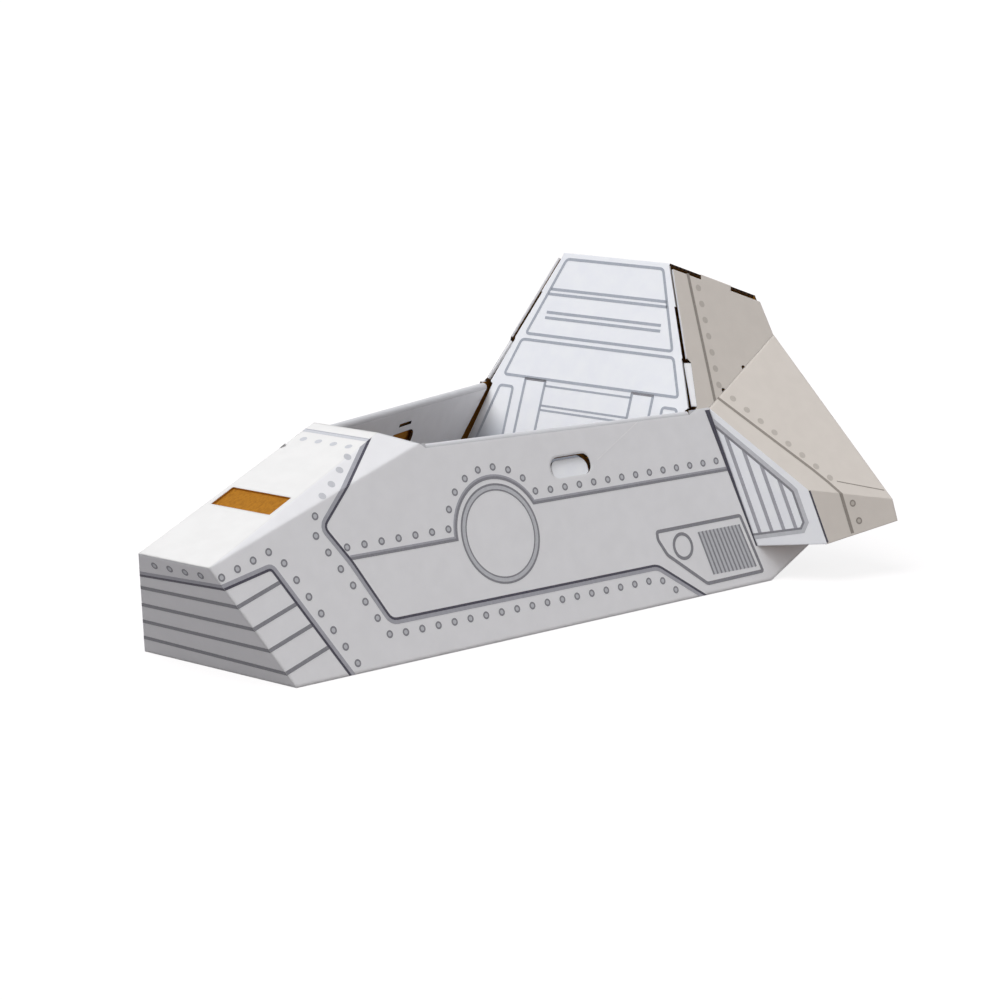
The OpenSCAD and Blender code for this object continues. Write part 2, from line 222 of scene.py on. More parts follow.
@dataclass(frozen=True)
class Relief:
    """Shallow bumps, with their strength and height."""

    strength: float
    height_mm: float

    def add(self, tree: Tree, height: Socket, normal: Socket | None = None) -> Socket:
        """Adds bumps of a height on a surface, plain or with a normal, and gives the new normal."""
        bumps = {"Strength": self.strength, "Distance": self.height_mm * MM}
        return add_node(
            tree, "Bump", bumps, {"Height": height, "Normal": normal}).outputs["Normal"]


@dataclass(frozen=True)
class Sheen:
    """How a paper surface throws back light."""

    roughness: float
    specular: float

    def add(self, tree: Tree, tone: Socket, normal: Socket | None = None) -> Socket:
        """Adds a surface of a tone, plain or with a normal, and gives the shader's output."""
        paper = {"Roughness": self.roughness, "Specular IOR Level": self.specular, "IOR": PAPER_IOR}
        return add_node(
            tree, "BsdfPrincipled", paper, {"Base Color": tone, "Normal": normal}).outputs["BSDF"]


@dataclass(frozen=True)
class Finish:
    """Surface of a real material, which becomes one Blender material."""

    name: str

    def make(self) -> Material:
        """Builds the material.

        Returns:
            The material with this finish.
        """
        material = bpy.data.materials.new(self.name)
        material.use_nodes = True
        tree = material.node_tree
        tree.nodes.clear()
        add_node(tree, "OutputMaterial", None, {"Surface": self.surface(tree)})
        return material

    def surface(self, tree: Tree) -> Socket:
        """Adds the nodes of the finish and gives the shader's output."""
        raise NotImplementedError


@dataclass(frozen=True)
class CoatedLiner(Finish):
    """Clay-coated white top liner of corrugated board, offset printed and matt.

    The coating scatters light evenly, so it reads as a flat soft white with a faint sheen. The
    fluting under it shows as very shallow ridges, the paper's formation as a slight mottle, and the
    folds as soft rounded edges. Real paper tooth is about 0.1 mm; it is drawn coarser so that it
    shows. Its darker, warmer or bluer copies paint light and shade into the liner's colour.
    """

    white: str
    mottle: str
    fold_r_mm: float = 2.5
    fold_samples: int = 4
    sheen: Sheen = Sheen(0.55, 0.35)
    mottle_noise: Noise = Noise(28.0, 4.0)
    mottle_stops: Point = (0.35, 0.65)
    buckle: Noise = Noise(260.0, 1.0)
    buckle_relief: Relief = Relief(0.5, 6.0)
    flute_relief: Relief = Relief(0.05, 0.4)
    tooth: Noise = Noise(0.9, 2.0)
    tooth_relief: Relief = Relief(0.08, 0.2)

    def surface(self, tree: Tree) -> Socket:
        """Adds the nodes of the liner.

        Args:
            tree: Node tree of the material.

        Returns:
            The shader's output.
        """
        place = object_place(tree)
        cloud = self.mottle_noise.add(tree, place)
        tone = add_ramp(tree, cloud, self.mottle_stops, (self.mottle, self.white))
        rounding = {"samples": self.fold_samples, "Radius": self.fold_r_mm * MM}
        normal = add_node(tree, "Bevel", rounding).outputs["Normal"]
        normal = self.buckle_relief.add(tree, self.buckle.add(tree, place), normal)
        normal = self.flute_relief.add(tree, add_flutes(tree, place), normal)
        normal = self.tooth_relief.add(tree, self.tooth.add(tree, place), normal)
        return self.sheen.add(tree, tone, normal)


@dataclass(frozen=True)
class KraftLiner(Finish):
    """Unbleached kraft liner, the bare inner face of the board.

    Long brown fibres give a warm matt brown with darker flecks that run along the sheet.
    """

    name: str = "kraft_liner_unbleached"
    brown: str = "#B2771E"
    fleck: str = "#9A6418"
    sheen: Sheen = Sheen(0.85, 0.2)
    fibre: Noise = Noise(3.0, 5.0)
    fibre_stretch: Place = (1.0, 0.25, 1.0)
    fibre_stops: Point = (0.30, 0.62)
    fibre_relief: Relief = Relief(0.15, 0.3)

    def surface(self, tree: Tree) -> Socket:
        """Adds the nodes of the liner.

        Args:
            tree: Node tree of the material.

        Returns:
            The shader's output.
        """
        links = {"Vector": object_place(tree)}
        stretch = add_node(tree, "Mapping", {"Scale": self.fibre_stretch}, links)
        fibres = self.fibre.add(tree, stretch.outputs["Vector"])
        tone = add_ramp(tree, fibres, self.fibre_stops, (self.fleck, self.brown))
        return self.sheen.add(tree, tone, self.fibre_relief.add(tree, fibres))


@dataclass(frozen=True)
class FlutedEdge(Finish):
    """Cut edge of single-wall board, die cut through both liners and the fluting.

    The open flutes between the liners hold shadow, so the edge reads as a dark brown line with
    paler ribs. Both colours are painted shade: they are darkened well below bare kraft so that the
    edges and the gaps beside them read as near-black shadow lines.
    """

    name: str = "corrugated_board_cut_edge_painted_shade"
    paper: str = "#4A3520"
    flute_shadow: str = "#120C08"
    sheen: Sheen = Sheen(0.9, 0.2)
    waver: float = 1.5
    fineness: float = 2.0
    rib_stops: Point = (0.25, 0.75)

    def surface(self, tree: Tree) -> Socket:
        """Adds the nodes of the edge and gives the shader's output."""
        flutes = add_flutes(tree, object_place(tree), self.waver, self.fineness)
        return self.sheen.add(
            tree, add_ramp(tree, flutes, self.rib_stops, (self.flute_shadow, self.paper)))


@dataclass(frozen=True)
class OffsetInk(Finish):
    """Offset litho ink on the coated liner.

    A thin film that takes the liner's matt sheen; the screen it is printed with leaves the tone
    uneven.
    """

    colour: str
    worn: str
    sheen: Sheen = Sheen(0.5, 0.35)
    screen: Noise = Noise(4.0, 3.0)
    screen_stops: Point = (0.35, 0.75)

    def surface(self, tree: Tree) -> Socket:
        """Adds the nodes of the ink and gives the shader's output."""
        dots = self.screen.add(tree, object_place(tree))
        return self.sheen.add(
            tree, add_ramp(tree, dots, self.screen_stops, (self.colour, self.worn)))


@dataclass(frozen=True)
class ShadeVignette(Finish):
    """Offset ink printed as a halftone vignette, and painted shade, fading out by height up the
    sheet to the bare liner.

    The film darkens towards the bottom: at the backrest's foot it is only painted shade, at the
    backrest's lower corners a printed vignette together with painted shade.
    """

    colour: str
    paper: str
    low_mm: float
    high_mm: float
    sheen: Sheen = Sheen(0.5, 0.35)

    def surface(self, tree: Tree) -> Socket:
        """Adds the nodes of the ink.

        Args:
            tree: Node tree of the material.

        Returns:
            The shader's output.
        """
        split = add_node(tree, "SeparateXYZ", None, {"Vector": object_place(tree)})
        reach = {"From Min": self.low_mm * MM, "From Max": self.high_mm * MM}
        fade = add_node(tree, "MapRange", reach, {"Value": split.outputs["Z"]}).outputs["Result"]
        return self.sheen.add(tree, add_ramp(tree, fade, (0.0, 1.0), (self.colour, self.paper)))


@dataclass(frozen=True)
class FloorPaint(Finish):
    """Matt floor paint, which the camera sees as nearly white outside the shadow."""

    name: str = "studio_floor_matt_paint"
    colour: str = "#7F7B7B"
    glow: float = 0.84

    def surface(self, tree: Tree) -> Socket:
        """Adds the nodes of the paint.

        Args:
            tree: Node tree of the material.

        Returns:
            The shader's output.
        """
        paint = add_node(tree, "BsdfDiffuse", {"Color": linear(self.colour)}).outputs[0]
        glow = add_node(tree, "Emission", {"Color": WHITE_LIGHT, "Strength": self.glow}).outputs[0]
        lit = add_node(tree, "AddShader", None, {0: paint, 1: glow}).outputs[0]
        return mix_seen(tree, paint, lit)


@dataclass(frozen=True)
class Face:
    """Flat outer face of a sheet, in millimetres from the middle of the nose's floor edge.

    u runs along the face, v up it and the lift out of it. A face of the right side is drawn as on
    the left and flipped.
    """

    origin: Vector
    along: Vector
    out: Vector
    side: Side = Side.LEFT
    mid_y: float = 545.0

    @property
    def up(self) -> Vector:
        """Direction up the face."""
        return self.out.cross(self.along)

    @property
    def both(self) -> tuple["Face", ...]:
        """The same face on each side."""
        return tuple(self.for_side(side) for side in Side)

    def for_side(self, side: Side) -> "Face":
        """The same face on one side."""
        return replace(self, side=side)

    def at(self, u: float, v: float, lift: float = 0.0) -> Vector:
        """Place in metres, in the row frame, of a point of the face with a lift out of it."""
        p = self.point(u, v) + lift * self.out
        return Vector((self.side.value * p.x, p.y - self.mid_y, p.z)) * MM

    def point(self, u: float, v: float) -> Vector:
        """Point of the left-hand face in millimetres from the nose."""
        return self.origin + u * self.along + v * self.up

    def on(self, point: Vector) -> Point:
        """Place on the left-hand face of a point in millimetres from the nose."""
        return ((point - self.origin).dot(self.along), (point - self.origin).dot(self.up))

    def from_row(self, v: Vector) -> Vector:
        """A direction of the row frame as seen from this face's side."""
        return Vector((self.side.value * v.x, v.y, v.z))

    def left_mm(self, point: Vector) -> Vector:
        """A point in metres as left-hand millimetres from the nose."""
        return self.from_row(point) / MM + Vector((0, self.mid_y, 0))

    def depth(self, point: Vector) -> float:
        """Millimetres that a point in metres lies behind the face."""
        return (self.origin - self.left_mm(point)).dot(self.out)

    def facing(self, normal: Vector) -> float:
        """How far a direction in the row frame faces out of the face, from -1 to 1."""
        return self.from_row(normal).dot(self.out)


def face_from(a: Vector, b: Vector, c: Vector) -> Face:
    """Face through three corners, anticlockwise from outside, with u from the first to the next."""
    return Face(a, (b - a).normalized(), (b - a).cross(c - a).normalized())


@dataclass(frozen=True)
class ShipSizes:
    """Sizes of the folded sheets in millimetres, with y from the nose's floor edge."""

    board_t: float = 4.0
    sink: float = 0.5
    flare: float = 0.19
    nose_half_w: float = 155.0
    hull_tan: float = math.tan(math.radians(20))
    tower_tan: float = math.tan(math.radians(28))
    nose_h: float = 183.0
    nose_reach: float = 92.0
    hood_rear: Place = (65.0, 289.0, 325.0)
    hood_slot: Point = (151.0, 202.0)
    wall_front: Point = (338.0, 306.0)
    wall_rear: Point = (930.0, 292.0)
    hem_r: float = 8.0
    flap_depth: float = 16.0
    hand_at: Point = (626.0, 237.0)
    hand_h: float = 34.0
    hand_push: float = 10.0
    tower_front_y: float = 1011.0
    tower_h: float = 523.0
    rear_y: float = 1182.0
    roof_rear_z: float = 456.0
    tab_up: Point = (4.0, 72.0)
    tab_back: Point = (6.0, 8.0)
    tab_reach: float = 9.0
    pod_front_y: float = 962.0
    pod_foot: Point = (988.0, 59.0)
    pod_rear_z: float = 392.0
    pod_knee: Point = (1037.0, 158.0)
    pod_reach: float = 94.0
    pod_lip: float = 0.39
    pod_spread: float = 1.56
    pod_taper: float = 0.41

    def hull_pt(self, y: float, z: float) -> Vector:
        """Point on the outer face of the left hull wall."""
        return Vector((self.nose_half_w + self.flare * y - self.hull_tan * z, y, z))

    def tower_pt(self, y: float, z: float) -> Vector:
        """Point on the outer face of the left tower side."""
        fold_z = self.wall_rear[1]
        return Vector((self.hull_pt(y, fold_z).x - self.tower_tan * (z - fold_z), y, z))

    @property
    def back_slope(self) -> float:
        """Backward lean of the backrest per millimetre of height."""
        return (self.tower_front_y - self.wall_rear[0]) / (self.tower_h - self.wall_rear[1])

    def back_y(self, z: float) -> float:
        """Front face of the backrest at a height z."""
        return self.wall_rear[0] + self.back_slope * (z - self.wall_rear[1])

    def rim_z(self, y: float) -> float:
        """Height of the cockpit wall's top edge at a distance y."""
        (y0, z0), (y1, z1) = self.wall_front, self.wall_rear
        return z0 + (z1 - z0) * (y - y0) / (y1 - y0)


@dataclass
class ShipFaces:
    """Outer faces of the folded sheets, all for the left side or the middle."""

    sizes: ShipSizes

    def __post_init__(self) -> None:
        """Works out the faces."""
        self.across = Vector((1, 0, 0))
        self.hull_faces()
        self.tower_faces()
        self.pod_faces()

    def hull_faces(self) -> None:
        """Works out the nose, hood, bevel, wall and hand flap."""
        s = self.sizes
        along = Vector((s.flare, 1, 0)).normalized()
        hood_rear = Vector(s.hood_rear)
        hood_slope = (hood_rear.z - s.nose_h) / (hood_rear.y + s.nose_reach)
        nose_top = s.hull_pt(-s.nose_reach, s.nose_h)
        self.wall = Face(s.hull_pt(0, 0), along, Vector((1, -s.flare, s.hull_tan)).normalized())
        self.bevel = face_from(nose_top, s.hull_pt(*s.wall_front), hood_rear)
        self.hood = Face(Vector((0, -s.nose_reach, s.nose_h)), self.across,
                         Vector((0, -hood_slope, 1)).normalized())
        self.nose = Face(Vector((0, 0, 0)), self.across,
                         Vector((0, -s.nose_h, -s.nose_reach)).normalized())
        push = math.radians(s.hand_push)
        below = (s.hand_h / 2 + s.board_t) * self.wall.up
        hinge = s.hull_pt(*s.hand_at) - below - s.sink * self.wall.out
        out = math.cos(push) * self.wall.out + math.sin(push) * self.wall.up
        self.hand_flap = Face(hinge, along, out)

    def tower_faces(self) -> None:
        """Works out the tower's sides, their folded tabs, the backrest, the roof and the rear."""
        s = self.sizes
        fold_z = s.wall_rear[1]
        self.tower = Face(s.hull_pt(0, fold_z), self.wall.along,
                          Vector((1, -s.flare, s.tower_tan)).normalized())
        (low_z, high_z), (low_back, high_back) = s.tab_up, s.tab_back
        sunk = s.sink * self.tower.out
        low = s.tower_pt(s.back_y(fold_z + low_z) + low_back, fold_z + low_z) - sunk
        high = s.tower_pt(s.back_y(fold_z + high_z) + high_back, fold_z + high_z) - sunk
        self.tab = face_from(low, high, high - Vector((s.tab_reach, high_back, 0)))
        fold, top = (s.tower_pt(s.back_y(z), z) for z in (fold_z, s.tower_h))
        self.tower_edge = face_from(fold, top, top - self.tower.out)
        self.back = Face(Vector((0, s.back_y(0), 0)), self.across,
                         Vector((0, -1, s.back_slope)).normalized())
        roof_slope = (s.roof_rear_z - s.tower_h) / (s.rear_y - s.tower_front_y)
        self.roof = Face(Vector((0, s.tower_front_y, s.tower_h)), self.across,
                         Vector((0, -roof_slope, 1)).normalized())
        self.rear = Face(Vector((0, s.rear_y, 0)), -self.across, Vector((0, 1, 0)))

    def pod_faces(self) -> None:
        """Works out the three faces of a wing pod."""
        s = self.sizes
        front = s.hull_pt(s.pod_front_y, s.wall_rear[1])
        foot = s.hull_pt(*s.pod_foot)
        rear = s.tower_pt(s.rear_y, s.pod_rear_z)
        knee = s.hull_pt(*s.pod_knee) + s.pod_reach * self.across
        toe = knee + s.pod_lip * (foot - front)
        top_step = (knee.y - front.y) / (rear.y - front.y)
        wing = rear + s.pod_spread * (knee - front - top_step * (rear - front))
        end_step = (toe.y - knee.y) / (wing.y - knee.y)
        tail = wing + s.pod_taper * (toe - knee - end_step * (wing - knee))
        self.pod_front = face_from(front, foot, toe)
        self.pod_top = face_from(front, knee, wing)
        self.pod_end = face_from(knee, toe, tail)
        self.pod_fold = (knee, wing)


def place_object(name: str, data: bpy.types.ID) -> bpy.types.Object:
    """Makes an object from a mesh, lamp or camera and links it to the scene.

    Args:
        name: Name of the object.
        data: What it shows.

    Returns:
        The object.
    """
    made = bpy.data.objects.new(name, data)
    bpy.context.collection.objects.link(made)
    return made


def meet(start: Point, step: Vector, cut: Cut) -> Point:
    """Point where a straight path, from a start in the direction of a step, meets a line."""
    gap, along = (Vector(p) - Vector(q) for p, q in ((cut[0], start), (cut[1], cut[0])))
    return tuple(Vector(start) + step * (gap.cross(along) / step.cross(along)))


def fillet(path: Sequence[Point], reach: float, closed: bool = False) -> list[Point]:
    """Rounds the corners of a path.

    Args:
        path: Corners of the path.
        reach: How far before and after a corner the curve starts and ends, in millimetres.
        closed: Whether the last corner joins the first.

    Returns:
        The path with a short curve in place of each corner.
    """
    n = len(path)
    smooth: list[Point] = []
    for i, corner in enumerate(path):
        if not closed and i in (0, n - 1):
            smooth.append(corner)
            continue
        here = Vector(corner)
        ways = ((Vector(path[j % n]) - here).normalized() for j in (i - 1, i + 1))
        start, end = (here + way * reach for way in ways)
        for t in (step / FILLET_STEPS for step in range(FILLET_STEPS + 1)):
            smooth.append(tuple(start.lerp(here, t).lerp(here.lerp(end, t), t)))
    return smooth


@dataclass(frozen=True)
class Row:
    """Evenly spaced places on a straight line, in millimetres on a face."""

    start: Point
    end: Point
    count: int

    def __iter__(self) -> Iterator[Point]:
        """The places in order."""
        start, end, last = Vector(self.start), Vector(self.end), self.count - 1
        return (tuple(start.lerp(end, i / last)) for i in range(self.count))


@dataclass(frozen=True)
class Arc:
    """Evenly spaced places on an arc, from a start to an end in degrees."""

    radius: float
    start: float
    end: float
    count: int

    def places(self, centre: Point) -> list[Point]:
        """Goes along the arc.

        Args:
            centre: Centre of the arc on the face.

        Returns:
            The places in order.
        """
        shares = (i / (self.count - 1) for i in range(self.count))
        turns = (math.radians(self.start + (self.end - self.start) * share) for share in shares)
        u, v = centre
        return [(u + self.radius * math.cos(t), v + self.radius * math.sin(t)) for t in turns]


def circle(centre: Point, radius: float, steps: int) -> list[Point]:
    """Evenly spaced places round a circle."""
    return Arc(radius, 0.0, FULL_TURN, steps + 1).places(centre)[:-1]


@dataclass(frozen=True)
class Pen:
    """How a line is printed: its width, its ink and how far it is moved to its left."""

    width: float
    ink: Ink
    shift: float = 0.0


@dataclass
class InkSheet:
    """Print of one sheet, with its films of painted shade and highlight, gathered as flat films
    just above its faces.
    """

    name: str
    ship: ShipFaces
    inks: Sequence[Material]
    side: Side = Side.LEFT
    slot: str = "hull_board"
    ring_steps: int = 64
    rivet_steps: int = 14
    rivet_r: float = 4.8
    rivet_w: float = 2.6
    sharpest: float = 0.35
    points: list[Vector] = field(default_factory=list)
    shapes: list[tuple[list[int], Ink]] = field(default_factory=list)

    def draw(self) -> None:
        """Prints what the sheet shows."""
        raise NotImplementedError

    def patch(self, face: Face, corners: Iterable[Point], ink: Ink) -> None:
        """Prints a filled outline.

        Args:
            face: Face that carries it.
            corners: Corners in millimetres on the face, anticlockwise.
            ink: Print colour.
        """
        start = len(self.points)
        self.points.extend(face.at(u, v, LIFT[ink]) for u, v in corners)
        ids = list(range(start, len(self.points)))
        self.shapes.append((ids if face.side is Side.LEFT else ids[::-1], ink))

    def line(self, face: Face, path: Sequence[Point], *pens: Pen, closed: bool = False,
             cuts: Sequence[Cut | None] = ()) -> None:
        """Prints a line with mitred corners.

        Args:
            face: Face that carries it.
            path: Corners in millimetres on the face.
            pens: Pens that follow the path, one after the other.
            closed: Whether the last corner joins the first.
            cuts: Lines on the face that the start and the end of the line are trimmed to.
        """
        pts = [Vector(p) for p in path]
        n = len(pts)
        runs = n if closed else n - 1
        steps = [(pts[(i + 1) % n] - pts[i]).normalized() for i in range(runs)]
        lefts: list[Vector] = []
        for i in range(n):
            before = steps[i - 1] if closed or i > 0 else steps[0]
            after = steps[i] if i < runs else steps[-1]
            left = Vector((-before.y - after.y, before.x + after.x)).normalized()
            lefts.append(left / max(self.sharpest, left.dot(Vector((-after.y, after.x)))))
        for pen in pens:
            offs = (pen.shift + pen.width / 2, pen.shift - pen.width / 2)
            edges = [tuple(tuple(p + left * off) for off in offs) for p, left in zip(pts, lefts)]
            for end, cut in zip((0, -1), cuts):
                if cut is not None:
                    edges[end] = tuple(meet(p, steps[end], cut) for p in edges[end])
            for i in range(runs):
                (a0, b0), (a1, b1) = edges[i], edges[(i + 1) % n]
                self.patch(face, (b0, b1, a1, a0), pen.ink)

    def rivets(self, face: Face, places: Iterable[Point], ink: Ink = Ink.MID) -> None:
        """Prints rivet heads: a ring round a pale middle.

        Args:
            face: Face that carries them.
            places: Centres in millimetres on the face.
            ink: Colour of the ring.
        """
        pale = Ink.FAINT if ink in (Ink.FAINT, Ink.WARM) else Ink.PALE
        pen = Pen(self.rivet_w, ink)
        for place in places:
            self.patch(face, circle(place, self.rivet_r - pen.width / 2, self.rivet_steps), pale)
            self.line(face, circle(place, self.rivet_r, self.rivet_steps), pen, closed=True)

    def build(self) -> None:
        """Prints the sheet, makes the piece and sets it on the ship."""
        self.draw()
        mesh = bpy.data.meshes.new(self.name)
        mesh.from_pydata([tuple(p) for p in self.points], [], [ids for ids, _ in self.shapes])
        for ink in self.inks:
            mesh.materials.append(ink)
        for polygon, (_, ink) in zip(mesh.polygons, self.shapes):
            polygon.material_index = ink.value
        piece = place_object(self.name, mesh)
        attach(piece, BODY)
        self.slot
        LOG.info("%s: %d printed shapes", self.name, len(self.shapes))


@dataclass
class BoardSheet:
    """One folded sheet of the CAD frame and the outer faces that carry its printed liner."""

    node: str
    ship: ShipFaces
    faces: Sequence[tuple[Face, Liner]]
    liners: Sequence[Material]
    near: float = 0.35
    aligned: float = 0.997

    def lies_on(self, face: Face, facet: Facet) -> bool:
        """Whether a facet is part of an outer face."""
        level = abs(face.depth(facet.center)) < self.near
        return level and face.facing(facet.normal) > self.aligned

    def liner_of(self, facet: Facet) -> Liner:
        """What shows on one facet of the sheet.

        Args:
            facet: Facet of the sheet.

        Returns:
            The outer liner on the outer faces, kraft on faces along them, cut edge elsewhere.
        """
        for face, liner in self.faces:
            if self.lies_on(face, facet):
                return liner
        flat = any(abs(face.facing(facet.normal)) > self.aligned for face, _ in self.faces)
        return Liner.KRAFT if flat else Liner.EDGE

    def dress(self) -> None:
        """Gives every facet of the sheet its liner."""
        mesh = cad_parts[self.node].data
        mesh.materials.clear()
        for liner in self.liners:
            mesh.materials.append(liner)
        for facet in mesh.polygons:
            facet.material_index = self.liner_of(facet).value
        LOG.info("%s: %d facets", self.node, len(mesh.polygons))


@dataclass
class HullSheet(BoardSheet):
    """The hull's sheet, whose walls are rolled over so that their liner also faces the cockpit."""

    edge_facing: float = 0.8
    slack: float = 1.0
    roll_least: float = 5.0

    def liner_of(self, facet: Facet) -> Liner:
        """What shows on one facet, with the wrapped edges, tabs, slot, rolled hem and inner flap.

        Args:
            facet: Facet of the sheet.

        Returns:
            The liner on that facet.
        """
        ship = self.ship
        found = super().liner_of(facet)
        wrapped = any(self.lies_on(edge, facet) for edge in ship.tower_edge.both)
        if wrapped or any(self.on_tab(tab, facet) for tab in ship.tab.both):
            return Liner.WHITE
        if found is Liner.EDGE and self.in_slot(facet):
            return Liner.KRAFT
        for wall in ship.wall.both:
            behind = wall.depth(facet.center) - ship.sizes.flap_depth
            # The inner flap takes the darker copy of the liner: painted shade inside the cockpit.
            if abs(behind) < self.near and wall.facing(facet.normal) < -self.aligned:
                return Liner.FLAP
            # The outside of the rolled hem takes a darker copy of the liner: painted shade over its
            # highlight.
            if self.on_roll(wall, facet):
                return Liner.ROLL
        return found

    def in_board(self, face: Face, facet: Facet) -> bool:
        """Whether the middle of a facet lies within the board under a face."""
        return -self.near < face.depth(facet.center) < self.ship.sizes.board_t + self.near

    def in_slot(self, facet: Facet) -> bool:
        """Whether a facet lies in the hood's slot, where the kraft side is crushed over the cut.

        Args:
            facet: Facet of the sheet.

        Returns:
            True inside the slot.
        """
        s, hood = self.ship.sizes, self.ship.hood
        u, v = hood.on(hood.left_mm(facet.center))
        low, high = s.hood_slot
        inside = abs(u) < s.hood_rear[0] and low - self.slack < v < high + self.slack
        return inside and self.in_board(hood, facet)

    def on_tab(self, tab: Face, facet: Facet) -> bool:
        """Whether a facet is the free long edge of a folded tab.

        Args:
            tab: Outer face of the tab.
            facet: Facet of the sheet.

        Returns:
            True on the tab's free edge.
        """
        s = self.ship.sizes
        u, v = tab.on(tab.left_mm(facet.center))
        inside = 0 < u < s.tab_up[1] + s.board_t and 0 < v < s.tab_reach + s.board_t
        free = tab.from_row(facet.normal).dot(tab.up) > self.edge_facing
        return inside and free and self.in_board(tab, facet)

    def on_roll(self, wall: Face, facet: Facet) -> bool:
        """Whether a facet belongs to the outside of the rolled hem.

        Args:
            wall: Outer face of the wall.
            facet: Facet of the sheet.

        Returns:
            True on the outside of the roll.
        """
        s, slack = self.ship.sizes, self.slack
        depth = wall.depth(facet.center)
        y, z = facet.center.y / MM + wall.mid_y, facet.center.z / MM
        above_rim = (z - s.rim_z(y) + depth * wall.out.z) / wall.up.z
        from_axis = Vector((s.hem_r - depth, above_rim + s.hem_r))
        beside = s.wall_front[0] < y < s.wall_rear[0] and -slack < depth < 2 * s.hem_r + slack
        if not beside or from_axis.y < -slack or from_axis.length < self.roll_least:
            return False
        facing = Vector((wall.facing(facet.normal), wall.from_row(facet.normal).dot(wall.up)))
        return facing.length > self.edge_facing and facing.dot(from_axis) > 0


@dataclass
class CanopySheet(BoardSheet):
    """The canopy's sheet, whose backrest has white wrapped side edges at its head and foot."""

    bare_z: Point = (369.0, 455.0)
    side_facing: float = 0.9
    rear_facing: float = 0.05

    def liner_of(self, facet: Facet) -> Liner:
        """What shows on one facet, with the wrapped edges of the backrest.

        Args:
            facet: Facet of the sheet.

        Returns:
            The liner on that facet.
        """
        z, normal = facet.center.z / MM, facet.normal
        sideways = abs(normal.x) > self.side_facing and normal.y > self.rear_facing
        bare = self.bare_z[0] < z < self.bare_z[1]
        if sideways and z > self.ship.sizes.wall_rear[1] and not bare:
            return Liner.WHITE
        return super().liner_of(facet)


@dataclass
class NosePrint(InkSheet):
    """Line print of the nose and the hood, in millimetres on each face."""

    nose_band: Point = (161, 169)
    nose_band_edges: Point = (1.5, 8.1)
    nose_dark_edges: Point = (-2.2, 2.2)
    nose_stripes: Path = ((136.2, 138.9), (100.6, 101), (65.7, 64.1), (31, 25))
    nose_stripe_edges: Point = (-3.5, 3.5)
    nose_rivets: Row = Row((-46.5, 187), (46.5, 187), 4)
    hood_joint: Point = (65.3, 385)
    hood_pens: tuple[Pen, ...] = (Pen(9, Ink.PALE, -3), Pen(2, Ink.BAND))
    hood_rivets: Row = Row((-46, 357), (46, 357), 4)

    def half_w(self, v: float) -> float:
        """Half width of the nose face at a height v up it."""
        p, wall = self.ship.nose.point(0, v), self.ship.wall
        return (wall.origin - p).dot(wall.out) / wall.out.x

    def strip(self, heights: Point, edges: Point, ink: Ink) -> None:
        """Prints a strip across the whole nose.

        Args:
            heights: Height of the strip's path on the right and on the left edge of the nose.
            edges: Lower and upper edge of the strip, measured up from its path.
            ink: Print colour.
        """
        (right, left), (low, high) = heights, edges
        places = [(-1, right + low), (1, left + low), (1, left + high), (-1, right + high)]
        self.patch(self.ship.nose, [(way * self.half_w(v), v) for way, v in places], ink)

    def draw(self) -> None:
        """Prints the bands of the nose face and the joint across the hood."""
        self.strip(self.nose_band, self.nose_band_edges, Ink.BAND)
        self.strip(self.nose_band, self.nose_dark_edges, Ink.DARK)
        for heights in self.nose_stripes:
            self.strip(heights, self.nose_stripe_edges, Ink.MID)
        self.rivets(self.ship.nose, self.nose_rivets)
        half, v = self.hood_joint
        self.line(self.ship.hood, [(-half, v), (half, v)], *self.hood_pens)
        self.rivets(self.ship.hood, self.hood_rivets, Ink.PALE)


